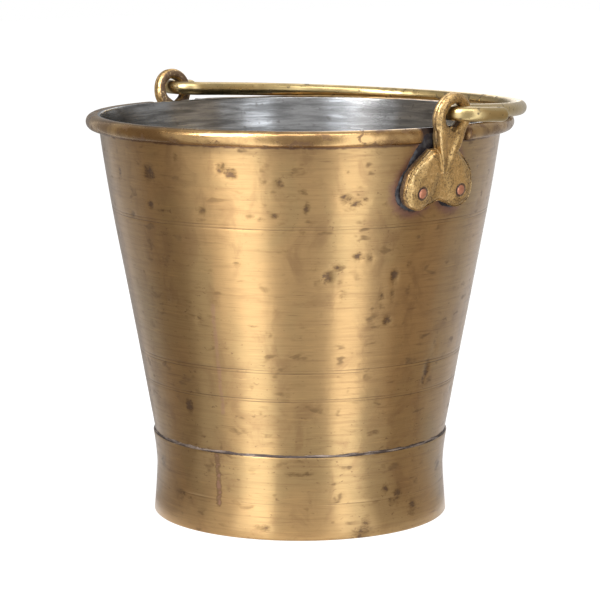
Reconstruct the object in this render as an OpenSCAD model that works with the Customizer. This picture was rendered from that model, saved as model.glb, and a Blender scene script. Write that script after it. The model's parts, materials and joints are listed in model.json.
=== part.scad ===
// Turned brass bucket on a soldered foot ring, with cast ears and a loose round-rod bail.
// Z is up, the origin is on the floor at the bucket's own axis, and the ears are on +X and -X.

/* [Shell] */
// Diameter over the rolled rim bead
rim_d = 300; // [250:1:360]
// Height of the top of the rim bead above the floor
rim_h = 282.4; // [235:0.1:340]
// Thickness of the rolled rim bead
bead_d = 10.6; // [8:0.1:13]
// Diameter of the shell where it enters the foot ring
joint_d = 206.3; // [170:0.1:245]
// Thickness of the shell's sheet
wall = 1.8; // [1.2:0.1:3]
// How far the wall swells outside a straight cone
swell = 1.4; // [0:0.1:3]
// Thickness of the shell's bottom
bottom_t = 2; // [1.2:0.1:4]
// How far the shell reaches down into the foot ring, to the underside of its bottom
tuck = 15.5; // [10:0.5:22]
// Rounding between the shell's wall and its bottom
bottom_round = 6; // [3:0.5:9]

/* [Foot ring] */
// Height of the foot ring's top edge above the floor
foot_h = 57.5; // [50:0.5:75]
// Thickness of the foot ring's sheet
foot_t = 1.4; // [1:0.1:2.5]
// Height of the foot ring's narrowest place
foot_waist_h = 34; // [20:1:40]
// How far the foot ring narrows from its top edge to its waist
foot_narrowing = 2.6; // [1.5:0.1:5]
// How far the foot ring spreads again from its waist to the floor
foot_spread = 2.4; // [0:0.1:6]
// Height of the solder line above the foot ring's top edge
seam_h = 2.2; // [1:0.1:4]

/* [Ears] */
// How far the rivets lie below the top of the rim
rivet_drop = 42.4; // [35:0.1:55]
// Thickness of the ears' riveted plate at its middle
ear_t = 7; // [4:0.1:10]
// Thickness of the solder between an ear and the shell
bed_t = 0.6; // [0.4:0.1:1.5]
// How far the solder is squeezed out past the ear's outline
bed_spill = 2.5; // [0.5:0.1:4]
// Distance between the two rivets of an ear
rivet_spacing = 34.8; // [28:0.1:42]
// Radius of an ear's two lobes
lobe_r = 11.5; // [9:0.1:13]
// Chamfer round the front of the ears
ear_bevel = 1.8; // [0.5:0.1:3]
// Play between the bail's rod and the side of the eye, besides what the ear's lean takes up
eye_play = 2.4; // [1.3:0.1:4.3]
// Width of the metal round the eye
eye_rim = 7.3; // [5:0.1:9]
// Thickness of the eye, along the bail's hinge line
eye_t = 9; // [6:0.1:10]
// Depth of the eye below the hinge line, down to its pointed bottom
eye_depth = 12; // [10:0.1:16]
// Space between each side of the eye and the cut end of the rim bead
notch_gap = 2.5; // [1:0.1:6]
// Space between the back of the eye and the line of the wall
eye_back = 0.7; // [0.5:0.1:3]

/* [Rivets] */
// Diameter of the rivets' shanks
shank_d = 3.9; // [3:0.1:6]
// Diameter of the rivets' heads
rivet_head_d = 7.6; // [6.4:0.1:10]
// Height of the rivets' heads
rivet_head_h = 1; // [0.6:0.1:2.5]

/* [Bail] */
// Diameter of the bail's rod
rod_d = 9.8; // [8:0.1:11]
// Height of the bail's hinge line above the top of the rim
hinge_rise = 8.8; // [7:0.1:14]
// How far the hinge line lies behind the bucket's axis
hinge_back = 3.2; // [0:0.1:6]
// Play between the inside of each hook and the eye that it goes round
hook_play = 2.95; // [2:0.05:6]
// Length of the straight stretch between each hook and the bow
bail_straight = 10; // [4:0.5:30]
// Length of the free end past each hook
tip_length = 18; // [8:0.5:26]
// Space between the resting bow and the rim bead
rest_gap = 0.3; // [0.3:0.1:1]

/* [Hidden] */
$fn = 120;
fit_gap = 0.05;    // clearance between pieces that are fitted over each other
over = 1;          // how far a cutting shape runs past what it cuts
steps = 12;        // straight stretches that make up a curved profile
behind = 7;        // how far the ears' shapes start behind the wall, before they are cut to it
bead_r = bead_d / 2;
bead_track = rim_d / 2 - bead_r;
lip_h = rim_h - 0.5;
lip_r = bead_track - bead_r / 2;
joint_r = joint_d / 2;
bottom_h = foot_h - tuck;
ear_h = rim_h - rivet_drop;
hinge_h = rim_h + hinge_rise;

// Outer radius of the shell at a height: a cone that swells slightly towards the top
function shell_part(z) = (z - foot_h) / (lip_h - foot_h);
function shell_r(z) = joint_r + (lip_r - joint_r) * shell_part(z)
                      + swell * (z > foot_h ? sin(180 * pow(shell_part(z), 2)) : 0);
function heights(low, high) = [for (i = [0 : steps]) low + (high - low) * i / steps];
function reversed(list) = [for (i = [len(list) - 1 : -1 : 0]) list[i]];

// Outer radius of the foot ring: a waist between a flared top edge and a spread base
foot_top_r = shell_r(foot_h) + fit_gap + foot_t;
foot_waist_r = foot_top_r - foot_narrowing;
function flare_r(z) = z > foot_waist_h
    ? foot_waist_r + foot_narrowing * pow((z - foot_waist_h) / (foot_h - foot_waist_h), 1.5)
    : foot_waist_r + foot_spread * pow((foot_waist_h - z) / foot_waist_h, 1.5);
function foot_r(z) = z < bottom_h ? flare_r(z) : max(flare_r(z), shell_r(z) + fit_gap + foot_t);

// The ear leans with the wall it is riveted to, and its own X starts at the wall's face
wall_r = shell_r(ear_h);
ear_lean = atan((shell_r(ear_h + over) - shell_r(ear_h - over)) / (2 * over));
ear_front = bed_t + ear_t;
// The hinge line in the leaning frame of the ear, at the middle of the eye's thickness
eye_x = eye_back + eye_t / 2;
eye_z = (hinge_h - ear_h + eye_x * sin(ear_lean)) / cos(ear_lean);
hinge_x = wall_r + eye_x * cos(ear_lean) + eye_z * sin(ear_lean);
eye_r = rod_d / 2 + eye_play + eye_t / 2 * sin(ear_lean);
eye_outer = eye_r + eye_rim;
eye_drop = 1.5;    // the eye's round part is centred a little below the resting rod
eye_z_middle = eye_z - eye_drop;
eye_low_half = 0.98 * eye_r;      // half its width where it starts to narrow
eye_tip_half = 1;  // half the width of the eye's pointed bottom
neck_drop = 10;    // how far below the eye the tongue is narrowest
neck_z = eye_z - eye_depth - neck_drop;
neck_half = 8.5;   // half the tongue's width there
neck_shift = hinge_back * 0.6;    // the tongue leans back towards the hinge line
tongue_z = 13;     // lowest point of the eye's tongue above the rivets
tongue_half = 2;   // half the tongue's width there
plate_z = 28;      // top of the riveted plate above the rivets
plate_half = 12;   // half the plate's width at its top
rivet_y = rivet_spacing / 2;
lobe_y = rivet_y + lobe_r;
notch_w = 2 * (eye_outer + hinge_back + notch_gap);
// The plate's outline, as parts of its lobes' radius and width
notch_low = 0.85 * lobe_r;       // lower edge where the notch between the lobes begins
lobe_low = 0.95 * lobe_r;        // lower edge at the rivets
side_z = 2;                      // height of the widest place above the rivets
shoulder_half = 0.94 * lobe_y;   // half the width level with the top of the lobes
slope_half = 0.8 * lobe_y;       // half the width where the sides turn inwards
slope_z = 1.5 * lobe_r;
// The rivets' heads inside the shell are broader and higher than those outside
inner_head_d = rivet_head_d + 2;
inner_head_h = 3.5;
head_taper = 0.7;  // a head's width at its top, as a part of its width at the plate
seam_foot = 0.2;   // how far the solder line's face stands back from the foot's outside
seam_top = 0.3;    // thickness of the solder line at its upper edge

// The bow of the bail is a half circle that starts inside the ears
hook_r = (rod_d + eye_t + eye_rim) / 2 + hook_play;
leg_x = hinge_x - hook_r;
tip_x = hinge_x + hook_r;
bow_y = hook_r + bail_straight;
tip_y = hook_r + tip_length - rod_d / 2;

// The bow droops backwards until its rod would first touch the rim bead
touch = bead_r + rod_d / 2 + rest_gap;
function bow_reach(a) = bow_y + leg_x * sin(a);
function off_bead(a) = norm([leg_x * cos(a), hinge_back + bow_reach(a)]) - bead_track;
droop = min([for (a = [0 : 90]) if (abs(off_bead(a)) < touch)
             atan((hinge_rise + bead_r - sqrt(pow(touch, 2) - pow(off_bead(a), 2))) / bow_reach(a))]);

brass = [0.62, 0.50, 0.29];
cast_brass = [0.60, 0.50, 0.26];
rod_brass = [0.66, 0.57, 0.33];
copper = [0.72, 0.43, 0.33];
solder = [0.46, 0.44, 0.42];

// Everything inside the shell's outer face, grown by a margin
module shell_space(margin = 0) {
    low = bottom_h - over;
    high = lip_h + over;
    rotate_extrude()
        polygon(concat([[0, low]], [for (z = heights(low, high)) [shell_r(z) + margin, z]],
                       [[0, high]]));
}

module shell_wall() {
    low = bottom_h + bottom_round;
    corner_r = shell_r(low) - bottom_round;
    floor_h = bottom_h + bottom_t;
    inner_round = bottom_round - bottom_t;
    arc = [for (a = [0 : 15 : 90]) [sin(a), -cos(a)]];
    outside = concat([for (p = arc) [corner_r, low] + bottom_round * p],
                     [for (z = heights(low + over, lip_h)) [shell_r(z), z]]);
    inside = concat([for (p = arc) [corner_r + bottom_round - wall - inner_round, floor_h + inner_round]
                                   + inner_round * p],
                    [for (z = heights(floor_h + inner_round + over, lip_h)) [shell_r(z) - wall, z]]);
    rotate_extrude()
        polygon(concat([[0, bottom_h]], outside, reversed(inside), [[0, floor_h]]));
}

// The rolled bead, open behind each ear down to the bare edge of the wall
module rim_bead() {
    difference() {
        rotate_extrude() translate([bead_track, rim_h - bead_r]) circle(r = bead_r);
        shell_space(-wall / 2);
        translate([-rim_d, -notch_w / 2, lip_h - 2 * bead_d])
            cube([2 * rim_d, notch_w, 3 * bead_d]);
    }
}

module rivet_holes() {
    for (side = [0, 1], y = [-rivet_y, rivet_y]) mirror([side, 0, 0])
        ear_frame() translate([y, 0, -behind])
            cylinder(h = behind + ear_front + over, d = shank_d + 2 * fit_gap);
}

module bucket_body() color(brass)
    difference() {
        union() {
            shell_wall();
            rim_bead();
        }
        rivet_holes();
    }

module foot_ring() color(brass)
    rotate_extrude()
        polygon(concat([for (z = heights(0, foot_h)) [foot_r(z), z]],
                       reversed([for (z = heights(0, foot_h)) [foot_r(z) - foot_t, z]])));

// A fillet of solder that stands on the foot's top edge and leans on the shell
module foot_solder() color(solder)
    rotate_extrude()
        polygon([[shell_r(foot_h) + fit_gap, foot_h], [foot_top_r, foot_h],
                 [foot_top_r - seam_foot, foot_h + seam_h / 3],
                 [shell_r(foot_h + seam_h) + fit_gap + seam_top, foot_h + seam_h],
                 [shell_r(foot_h + seam_h) + fit_gap, foot_h + seam_h]]);

// Draws in the ear's leaning frame: X along the wall, Y up it, and Z outwards from its face
module ear_frame() {
    translate([wall_r, 0, ear_h]) rotate([0, ear_lean, 0]) rotate([90, 0, 90]) children();
}

// The plate between the lobes, from the notch below to the top above
module plate_outline(grow = 0) {
    half = [[0, -lobe_r / 2 - grow], [rivet_y - lobe_r / 2, -notch_low - grow],
            [rivet_y, -lobe_low], [lobe_y + grow, side_z], [shoulder_half + grow, lobe_r],
            [slope_half + grow, slope_z], [plate_half + grow, plate_z + grow]];
    polygon(concat(half, [for (p = reversed(half)) [-p[0], p[1]]]));
}

// The riveted plate with its two lobes, chamfered round the front
module ear_plate() {
    edge_x = ear_front - ear_bevel;
    translate([0, 0, -behind]) linear_extrude(behind + edge_x) plate_outline();
    translate([0, 0, edge_x]) linear_extrude(ear_bevel) plate_outline(-ear_bevel);
    for (y = [-rivet_y, rivet_y]) translate([y, 0, 0]) {
        translate([0, 0, -behind]) cylinder(h = behind + edge_x, r = lobe_r);
        translate([0, 0, edge_x]) cylinder(h = ear_bevel, r1 = lobe_r, r2 = lobe_r - ear_bevel);
    }
}

// The ring of the eye and the tongue that it narrows into over the plate
module eye_body() {
    half_t = eye_t / 2;
    b = ear_bevel;
    translate([hinge_back, eye_z_middle, eye_x])
        rotate_extrude()
            polygon([[0, -half_t], [eye_outer - b, -half_t], [eye_outer, b - half_t],
                     [eye_outer, half_t - b], [eye_outer - b, half_t], [0, half_t]]);
    translate([0, 0, eye_x - half_t]) linear_extrude(eye_t)
        polygon([[hinge_back - eye_outer + b, eye_z_middle], [neck_shift - neck_half, neck_z],
                 [-tongue_half, tongue_z], [tongue_half, tongue_z],
                 [neck_shift + neck_half, neck_z], [hinge_back + eye_outer - b, eye_z_middle]]);
}

// The hole of the eye: round above, with worn edges, and pointed below
module eye_hole() {
    b = ear_bevel;
    translate([hinge_back, 0, eye_x]) {
        translate([0, eye_z_middle, 0]) {
            cylinder(h = 2 * eye_t, r = eye_r, center = true);
            for (side = [0, 1]) mirror([0, 0, side]) translate([0, 0, eye_t / 2 - b])
                cylinder(h = b + over, r1 = eye_r, r2 = eye_r + b + over);
        }
        translate([0, 0, -eye_t]) linear_extrude(2 * eye_t)
            polygon([[-eye_low_half, eye_z_middle - eye_drop], [-eye_tip_half, eye_z - eye_depth],
                     [eye_tip_half, eye_z - eye_depth], [eye_low_half, eye_z_middle - eye_drop],
                     [0, eye_z_middle]]);
    }
}

module ear() color(cast_brass)
    difference() {
        ear_frame() difference() {
            union() {
                ear_plate();
                eye_body();
            }
            eye_hole();
        }
        shell_space(bed_t);
        rivet_holes();
    }

// The solder fills the space between the ear's back and the wall
module ear_solder() color(solder)
    difference() {
        intersection() {
            shell_space(bed_t - fit_gap);
            ear_frame() translate([0, 0, -behind]) {
                linear_extrude(2 * behind) plate_outline(bed_spill);
                for (y = [-rivet_y, rivet_y]) translate([y, 0, 0])
                    cylinder(h = 2 * behind, r = lobe_r + bed_spill);
            }
        }
        shell_space(fit_gap);
        rivet_holes();
    }

// A shank through ear, solder and wall, with a head on the plate and one inside the shell
module rivet(y) color(copper) {
    ear_frame() translate([y, 0, 0]) {
        translate([0, 0, ear_front])
            cylinder(h = rivet_head_h, d1 = rivet_head_d, d2 = rivet_head_d * head_taper);
        translate([0, 0, -wall - over]) cylinder(h = ear_front + wall + over, d = shank_d);
    }
    intersection() {
        ear_frame() translate([y, 0, -wall - inner_head_h]) cylinder(h = behind, d = inner_head_d);
        shell_space(-wall - fit_gap);
    }
}

// One rod: free end, hook through the eye, leg, and half of the bow, in the bail's own plane
module bail_side() {
    translate([tip_x, hook_r, 0]) rotate([-90, 0, 0]) cylinder(h = tip_y - hook_r, d = rod_d);
    translate([tip_x, tip_y, 0]) sphere(d = rod_d);
    translate([hinge_x, hook_r, 0]) rotate([0, 0, 180]) rotate_extrude(angle = 180)
        translate([hook_r, 0]) circle(d = rod_d);
    translate([leg_x, hook_r, 0]) rotate([-90, 0, 0]) cylinder(h = bail_straight, d = rod_d);
}

module bail() color(rod_brass)
    translate([0, hinge_back, hinge_h]) rotate([-droop, 0, 0]) {
        bail_side();
        mirror([1, 0, 0]) bail_side();
        translate([0, bow_y, 0]) rotate_extrude(angle = 180)
            translate([leg_x, 0]) circle(d = rod_d);
    }

module ear_right() ear();
module ear_left() mirror([1, 0, 0]) ear();
module ear_solder_right() ear_solder();
module ear_solder_left() mirror([1, 0, 0]) ear_solder();
module rivet_right_front() rivet(-rivet_y);
module rivet_right_back() rivet(rivet_y);
module rivet_left_front() mirror([1, 0, 0]) rivet(-rivet_y);
module rivet_left_back() mirror([1, 0, 0]) rivet(rivet_y);

bucket_body();
foot_ring();
foot_solder();
ear_right();
ear_left();
ear_solder_right();
ear_solder_left();
rivet_right_front();
rivet_right_back();
rivet_left_front();
rivet_left_back();
bail();
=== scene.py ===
import json
import math
import bmesh
import bpy
from mathutils import Matrix, Vector, noise


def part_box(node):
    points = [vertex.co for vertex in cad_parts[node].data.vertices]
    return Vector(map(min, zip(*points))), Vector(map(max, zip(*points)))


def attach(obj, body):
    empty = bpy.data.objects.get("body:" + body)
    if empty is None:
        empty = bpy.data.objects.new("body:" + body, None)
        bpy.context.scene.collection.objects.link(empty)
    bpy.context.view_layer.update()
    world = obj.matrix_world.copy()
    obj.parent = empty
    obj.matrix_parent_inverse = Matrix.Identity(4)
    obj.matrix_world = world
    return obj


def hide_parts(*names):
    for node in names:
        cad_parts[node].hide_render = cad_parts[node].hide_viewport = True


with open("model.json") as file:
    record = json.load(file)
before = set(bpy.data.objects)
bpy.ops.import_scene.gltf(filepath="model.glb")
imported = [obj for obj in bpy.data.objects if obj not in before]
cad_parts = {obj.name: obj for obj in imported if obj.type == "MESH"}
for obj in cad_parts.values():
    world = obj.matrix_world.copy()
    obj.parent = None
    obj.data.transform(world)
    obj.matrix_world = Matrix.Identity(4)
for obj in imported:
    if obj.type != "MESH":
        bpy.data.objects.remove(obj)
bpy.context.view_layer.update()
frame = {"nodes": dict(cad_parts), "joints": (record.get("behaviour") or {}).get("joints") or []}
print("frame loaded")

mm = 0.001
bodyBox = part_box("bucket_body")
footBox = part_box("foot_ring")
hinge = Vector(frame["joints"][0]["pos_m"])


# small tools shared by the pieces

def blendStep(low, high, value):
    part = min(max((value - low) / (high - low), 0), 1)
    return part * part * (3 - 2 * part)


def bumps(x, y, z):
    return noise.noise(Vector((x, y, z)))


def ringPlace(vert):
    x, y, z = vert.co
    angle = math.atan2(y, x)
    return x, y, z, math.hypot(x, y), angle, Vector((math.cos(angle), math.sin(angle), 0))


def turnBetween(angle, other):
    return (angle - other + math.pi) % (2 * math.pi) - math.pi


def vertsIn(geom):
    return [item for item in geom if isinstance(item, bmesh.types.BMVert)]


def edgesIn(geom):
    return [item for item in geom if isinstance(item, bmesh.types.BMEdge)]


def addLayers(bm, *names):
    return [bm.verts.layers.float.new(name) for name in names]


def turnVerts(bm, verts, angle, axis):
    bmesh.ops.rotate(bm, verts=verts, cent=(0, 0, 0), matrix=Matrix.Rotation(angle, 3, axis))


def spin(bm, geom, centre, angle, steps, full=False):
    return bmesh.ops.spin(bm, geom=geom, cent=centre, axis=(0, 0, 1), dvec=(0, 0, 0), angle=angle,
                          steps=steps, use_merge=full)["geom_last"]


def spinProfile(bm, points, steps, start=0.0, angle=2 * math.pi):
    verts = [bm.verts.new((x, 0, z)) for x, z in points]
    edges = [bm.edges.new(pair) for pair in zip(verts, verts[1:])]
    turnVerts(bm, verts, start, "Z")
    spin(bm, verts + edges, (0, 0, 0), angle, steps, abs(angle - 2 * math.pi) < 1e-6)


def closeMesh(bm):
    bmesh.ops.remove_doubles(bm, verts=bm.verts, dist=1e-6)
    bmesh.ops.dissolve_degenerate(bm, dist=1e-7, edges=bm.edges)
    bmesh.ops.recalc_face_normals(bm, faces=bm.faces)


def placed(bm, place):
    bmesh.ops.transform(bm, matrix=place, verts=bm.verts)
    bmesh.ops.recalc_face_normals(bm, faces=bm.faces)
    return bm


def meshObject(name, bm, *materials):
    mesh = bpy.data.meshes.new(name)
    bm.to_mesh(mesh)
    bm.free()
    for material in materials:
        mesh.materials.append(material)
    made = bpy.data.objects.new(name, mesh)
    bpy.context.collection.objects.link(made)
    return made


def finishPiece(name, bm, materials, body, nodes):
    bm.normal_update()
    piece = meshObject(name, bm, *materials)
    polygons = piece.data.polygons
    polygons.foreach_set("use_smooth", [True] * len(polygons))
    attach(piece, body)
    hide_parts(*nodes)
    print("made", name, len(polygons), "faces")


# the wall that everything else sits on

shell = {
    "wall": 1.8 * mm,
    "jointRadius": 103.15 * mm,
    "jointHeight": footBox[1][2],
    "swell": 1.4 * mm,
    "beadRadius": 5.3 * mm,
    "lipDrop": 0.5 * mm,  # the bare lip stands this far under the top of the bead
    "bottomThick": 2 * mm,
    "bottomRound": 6 * mm,
    "columns": 386,
    "rowStep": 1.9 * mm,
    "innerStep": 5 * mm,
    "beadStart": math.radians(115),      # where the bead leaves the lip, round its own section
    "creaseAngle": math.radians(224.6),  # where it meets the wall again
    "notchColumns": 9,  # half the bead's gap behind each ear
    "outOfRound": 0.22 * mm,
    "ripple": 0.18 * mm,
    "bottomReach": 90 * mm,  # nearer the axis than this is the bottom
    "bottomRipple": 0.35 * mm,
    "scarAngle": math.radians(-69.5),
    "scarMiddle": 125 * mm,
    "scarHalf": 38 * mm,
}
rimTop = bodyBox[1][2]
rimRadius = bodyBox[1][1]
beadTrack = rimRadius - shell["beadRadius"]
beadHeight = rimTop - shell["beadRadius"]
lipHeight = rimTop - shell["lipDrop"]
lipRadius = beadTrack - shell["beadRadius"] / 2


def wallRadius(z):
    part = (z - shell["jointHeight"]) / (lipHeight - shell["jointHeight"])
    swell = shell["swell"] * math.sin(math.pi * part * part) if part > 0 else 0
    return shell["jointRadius"] + (lipRadius - shell["jointRadius"]) * part + swell


# angle in degrees, height, half width and half height in mm, depth in mm, stain from 0 to 1
dents = [
    (-88, 250, 5, 6, 0.5, 0.75), (-77, 262, 3, 3, 0.2, 0.5), (-63, 257, 3.2, 3.4, 0.5, 0.7),
    (-60, 253, 4, 3.6, 0.6, 0.85), (-50, 249, 3, 2, 0.2, 0.45), (-46.5, 247.5, 3, 3, 0.4, 0.7),
    (-43, 258, 3, 2, 0.1, 0.3), (-70, 227, 4, 3, 0.3, 0.6), (-89, 228, 3, 3, 0.3, 0.7),
    (-84, 225, 6, 1.5, 0.1, 0.5), (-55, 225, 3.4, 2.2, 0.3, 0.65), (-52, 223, 4, 1.6, 0.1, 0.5),
    (-48, 226, 3, 2, 0.2, 0.6), (-40, 242, 4, 2.4, 0.3, 0.5), (-39, 231, 2.2, 4, 0.3, 0.7),
    (-28, 237, 4.5, 3.4, 0.4, 0.6), (-25, 233.5, 4.5, 2.6, 0.4, 0.65), (-22, 236, 2.4, 3, 0.2, 0.5),
    (-27, 229.5, 6, 1.6, 0.1, 0.45), (-28, 254, 3, 2, 0.1, 0.4), (-24, 244, 3, 2, 0.1, 0.3),
    (-24, 197, 3.6, 3.6, 0.4, 0.7), (-19.5, 196, 2.6, 2.4, 0.3, 0.6), (-30, 191, 4.6, 2.6, 0.3, 0.6),
    (-32.5, 184, 3.6, 4.5, 0.5, 0.75), (-37, 191, 3.5, 3, 0.2, 0.45), (-29, 180, 3, 2, 0.2, 0.5),
    (-36, 180, 2.6, 4, 0.2, 0.45), (-11, 182, 2.8, 5, 0.5, 0.85), (-11, 171, 2, 8, 0.1, 0.55),
    (-15, 168, 2.2, 7, 0.1, 0.5), (-6, 190, 3, 2.4, 0.1, 0.4), (-20, 205, 3, 2, 0.1, 0.35),
    (-12, 152, 3.2, 3, 0.5, 0.8), (-17, 148, 3, 2, 0.2, 0.4), (-28, 172, 3, 5, 0.2, 0.35),
    (9, 113, 3, 6, 0.4, 0.85), (8, 105, 2, 3, 0.2, 0.7), (12, 128, 4, 8, 0.2, 0.35),
    (-85, 88, 3, 4.5, 0.3, 0.95), (-91, 92, 2.4, 2, 0.1, 0.4), (-60, 192, 3, 3, 0.2, 0.5),
    (-45, 203, 3, 3, 0.2, 0.3), (-56, 150, 6, 1.4, 0.1, 0.4), (-51, 121, 5, 1.6, 0.1, 0.35),
    (-88, 163, 3, 5, 0.2, 0.35), (-75, 151, 2.6, 5, 0.2, 0.35), (-66, 133, 5, 1.5, 0.1, 0.35),
    (21, 252, 5, 4, 0.2, 0.4), (24, 226, 3, 3, 0.2, 0.5), (-100, 219, 4, 3, 0.2, 0.5),
    (-104, 247, 2, 4, 0.2, 0.6), (-45, 100, 3, 4, 0.2, 0.3), (-24, 104, 2, 3, 0.1, 0.45),
    (-118, 201, 4, 4, 0.4, 0.6), (-133, 162, 5, 3, 0.5, 0.7), (-141, 236, 4, 3, 0.3, 0.6),
    (-156, 120, 4, 5, 0.4, 0.6), (178, 184, 6, 3, 0.4, 0.6), (166, 226, 3, 4, 0.3, 0.7),
    (158, 96, 4, 3, 0.4, 0.6), (142, 208, 5, 4, 0.5, 0.7), (133, 250, 4, 3, 0.2, 0.5),
    (127, 143, 4, 4, 0.4, 0.6), (116, 188, 6, 2, 0.3, 0.5), (108, 233, 4, 4, 0.4, 0.7),
    (97, 110, 4, 4, 0.4, 0.6), (88, 214, 5, 3, 0.4, 0.6), (79, 166, 3, 5, 0.3, 0.7),
    (70, 245, 4, 3, 0.3, 0.6), (61, 128, 5, 3, 0.4, 0.6), (52, 201, 4, 4, 0.4, 0.6),
    (41, 172, 4, 5, 0.3, 0.6), (34, 91, 3, 4, 0.3, 0.6),
]
dents = [(math.radians(a), h * mm, w * mm, t * mm, d * mm, s) for a, h, w, t, d, s in dents]


def dentAt(angle, z, radius):
    depth = 0
    stain = 0
    for dentAngle, height, halfWidth, halfHeight, dentDepth, strength in dents:
        up = (z - height) / halfHeight
        if abs(up) > 2.4:
            continue
        along = turnBetween(angle, dentAngle) * radius / halfWidth
        if abs(along) > 2.4:
            continue
        reach = along * along + up * up
        depth += dentDepth * math.exp(-1.6 * reach)
        stain = max(stain, strength * (1 - math.sqrt(reach) / 1.8))
    return depth, stain


# each ear's plate, seen square on: two lobes that run together under the eye
ear = {
    "height": 240 * mm,
    "rivetHalf": 17.4 * mm,
    "lobeRadius": 11.5 * mm,
    "topHalf": 5 * mm,
    "topHeight": 27 * mm,
    "topRadius": 8 * mm,
    "front": 7.6 * mm,
    "plateMiddle": 3.9 * mm,
    "eyeMiddle": 5.2 * mm,  # the middle of the eye's thickness, out from the wall
    "eyeStart": 34 * mm,
    "eyeHeight": 51.2 * mm,
    "eyeShift": 3.2 * mm,
    "eyeHole": 8 * mm,
    "eyeRim": 7.3 * mm,
}
earSlope = (wallRadius(ear["height"] + mm) - wallRadius(ear["height"] - mm)) / (2 * mm)
earLean = math.atan(earSlope)
earPlace = (Matrix.Translation((wallRadius(ear["height"]), 0, ear["height"]))
            @ Matrix.Rotation(earLean, 4, "Y")
            @ Matrix(((0, 0, 1, 0), (1, 0, 0, 0), (0, 1, 0, 0), (0, 0, 0, 1))))


def armDistance(u, v):
    # distance from the plate's outline, below 0 inside it, and from the middle line of the nearer lobe
    foot = Vector((ear["rivetHalf"], 0))
    line = Vector((ear["topHalf"], ear["topHeight"])) - foot
    spot = Vector((abs(u), v)) - foot
    along = min(max(spot.dot(line) / line.length_squared, 0), 1)
    reach = (spot - line * along).length
    return reach - (ear["lobeRadius"] + (ear["topRadius"] - ear["lobeRadius"]) * along), reach


def earDistance(angle, z, radius):
    turn = min(abs(angle), math.pi - abs(angle))
    if turn > 0.8:
        return 0.1
    return armDistance(turn * radius, (z - ear["height"]) / math.cos(earLean))[0]


# materials

def newMaterial(name):
    material = bpy.data.materials.new(name)
    material.use_nodes = True
    tree = material.node_tree
    return material, tree, tree.nodes["Principled BSDF"]


def link(source, target):
    if isinstance(source, (int, float)):
        target.default_value = source
    elif isinstance(source, tuple):
        target.default_value = (*source, 1) if len(source) == 3 else source
    else:
        target.id_data.links.new(source, target)


def addNode(tree, kind, inputs=(), **settings):
    node = tree.nodes.new("ShaderNode" + kind)
    for name, value in settings.items():
        setattr(node, name, value)
    for name, source in dict(inputs).items():
        link(source, node.inputs[name])
    return node


def objectCoords(tree, stretch):
    coords = addNode(tree, "TexCoord")
    mapping = addNode(tree, "Mapping", {"Vector": coords.outputs["Object"]})
    mapping.inputs["Scale"].default_value = stretch
    return mapping.outputs["Vector"]


def noiseNode(tree, scale, stretch=(1, 1, 1), detail=3.0, roughness=0.55, distortion=0.0):
    inputs = {"Scale": scale, "Detail": detail, "Roughness": roughness, "Distortion": distortion}
    return addNode(tree, "TexNoise", {**inputs, "Vector": objectCoords(tree, stretch)}).outputs["Fac"]


def attributeNode(tree, name):
    return addNode(tree, "Attribute", attribute_name=name).outputs["Fac"]


def rampNode(value, low, high, start=0.0, end=1.0):
    inputs = {"Value": value, "From Min": low, "From Max": high, "To Min": start, "To Max": end}
    return addNode(value.id_data, "MapRange", inputs, interpolation_type="SMOOTHSTEP").outputs["Result"]


def mathNode(operation, first, second, clamp=False):
    tree = (second if isinstance(first, float) else first).id_data
    node = addNode(tree, "Math", {0: first, 1: second}, operation=operation, use_clamp=clamp)
    return node.outputs[0]


def mixColours(factor, first, second):
    inputs = {"Factor": factor, "A": first, "B": second}
    return addNode(factor.id_data, "Mix", inputs, data_type="RGBA").outputs["Result"]


def bumpNode(height, strength, distance, before=None):
    inputs = {"Strength": strength, "Distance": distance, "Height": height}
    if before is not None:
        inputs["Normal"] = before
    return addNode(height.id_data, "Bump", inputs).outputs["Normal"]


def times(first, second):
    return mathNode("MULTIPLY", first, second)


def larger(first, second):
    return mathNode("MAXIMUM", first, second)


def addShare(base, extra, share):
    return mathNode("ADD", base, times(extra, share))


def tinted(colour, target, mask, low, high, start=0.0, end=1.0):
    return mixColours(rampNode(mask, low, high, start, end), colour, target)


def wire(shader, colour, metallic, roughness, normal):
    named = {"Base Color": colour, "Metallic": metallic, "Roughness": roughness, "Normal": normal}
    for name, source in named.items():
        link(source, shader.inputs[name])


def radialTangent(shader, anisotropy):
    # brushing runs round the axis, so highlights are drawn out up and down the wall
    tangent = addNode(shader.id_data, "Tangent", direction_type="RADIAL", axis="Z")
    link(tangent.outputs["Tangent"], shader.inputs["Tangent"])
    shader.inputs["Anisotropic"].default_value = anisotropy
    shader.inputs["Anisotropic Rotation"].default_value = 0.25


turnedBrass = {
    "warm": (0.43, 0.262, 0.106),
    "olive": (0.385, 0.248, 0.102),
    "brown": (0.27, 0.15, 0.06),
    "line": (0.17, 0.09, 0.035),
    "groove": (0.09, 0.05, 0.022),
    "halo": (0.20, 0.112, 0.038),
    "stain": (0.095, 0.046, 0.02),
    "violet": (0.25, 0.12, 0.095),
    # dark colour for crust and painted shade where the ears meet the wall
    "crustAndShade": (0.045, 0.032, 0.034),
    # painted shade colour for the crease under the bead
    "crease": (0.085, 0.035, 0.018),
    "dashLight": (0.50, 0.31, 0.12),
    "seamPink": (0.36, 0.19, 0.13),
    "roughness": 0.38,
    "anisotropy": 0.84,
    "coat": 0.45,  # a thin film of old lacquer and dust
    "coatRoughness": 0.35,
    "sheen": 0.12,
    "sheenRoughness": 0.35,
    "sheenTint": (1.0, 0.86, 0.84, 1),
}


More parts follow.
